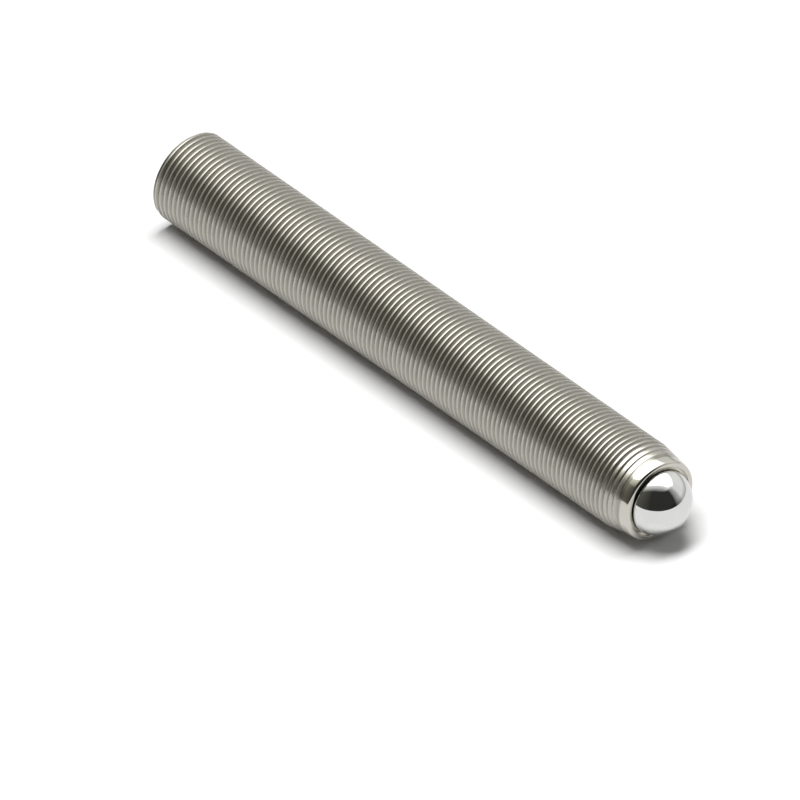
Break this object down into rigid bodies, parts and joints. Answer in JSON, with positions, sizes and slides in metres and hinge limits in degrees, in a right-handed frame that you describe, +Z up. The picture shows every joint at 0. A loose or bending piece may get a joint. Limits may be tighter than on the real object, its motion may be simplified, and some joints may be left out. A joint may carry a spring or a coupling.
{
  "type": "ball-end adjusting screw",
  "caption": "Headless fine-thread adjusting screw with a fixed polished ball in its tapered front end and a hexagon drive socket in its rear face.",
  "frame": {"origin": "on the surface the screw lies on, below the middle of its overall length", "axes": "+X along the screw's axis towards the ball, +Z up from the surface"},
  "size_m": [0.038, 0.005, 0.005],
  "materials": {
    "body_steel": "fine turned stainless, slightly warm grey",
    "ball_steel": "hardened steel, mirror polished"
  },
  "bodies": {
    "root": {"screw_body": "body_steel", "ball": "ball_steel"}
  },
  "joints": []
}
